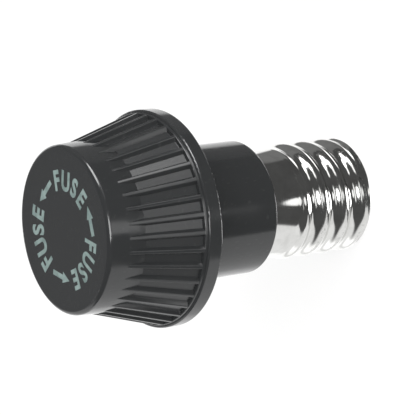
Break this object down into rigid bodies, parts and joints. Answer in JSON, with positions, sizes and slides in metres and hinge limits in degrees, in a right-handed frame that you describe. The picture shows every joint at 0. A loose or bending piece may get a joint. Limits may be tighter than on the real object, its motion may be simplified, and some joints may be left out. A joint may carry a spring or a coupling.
{
  "type": "screw-in fuse carrier",
  "caption": "Fluted moulded knob with a plain neck and a rolled screw shell, whose inner spring clip grips one end cap of a cartridge fuse in a panel mount fuse holder.",
  "frame": {"origin": "centre of the screw shell's open end, on the axis of the carrier", "axes": "+Z along the axis from the shell's open end to the cap face, and +X up as the picture shows the part"},
  "size_m": [0.0278, 0.0278, 0.0429],
  "materials": {
    "moulded_plastic": "glossy black moulding",
    "nickel_plate": "bright nickel plate on brass",
    "spring_bronze": "plain phosphor bronze",
    "zinc_steel": "bright zinc plate",
    "brass": "turned brass"
  },
  "bodies": {
    "root": {"knob": "moulded_plastic", "screw_shell": "nickel_plate", "fuse_clip": "spring_bronze", "lock_washer": "zinc_steel", "clip_screw": "zinc_steel", "threaded_insert": "brass"}
  },
  "joints": []
}
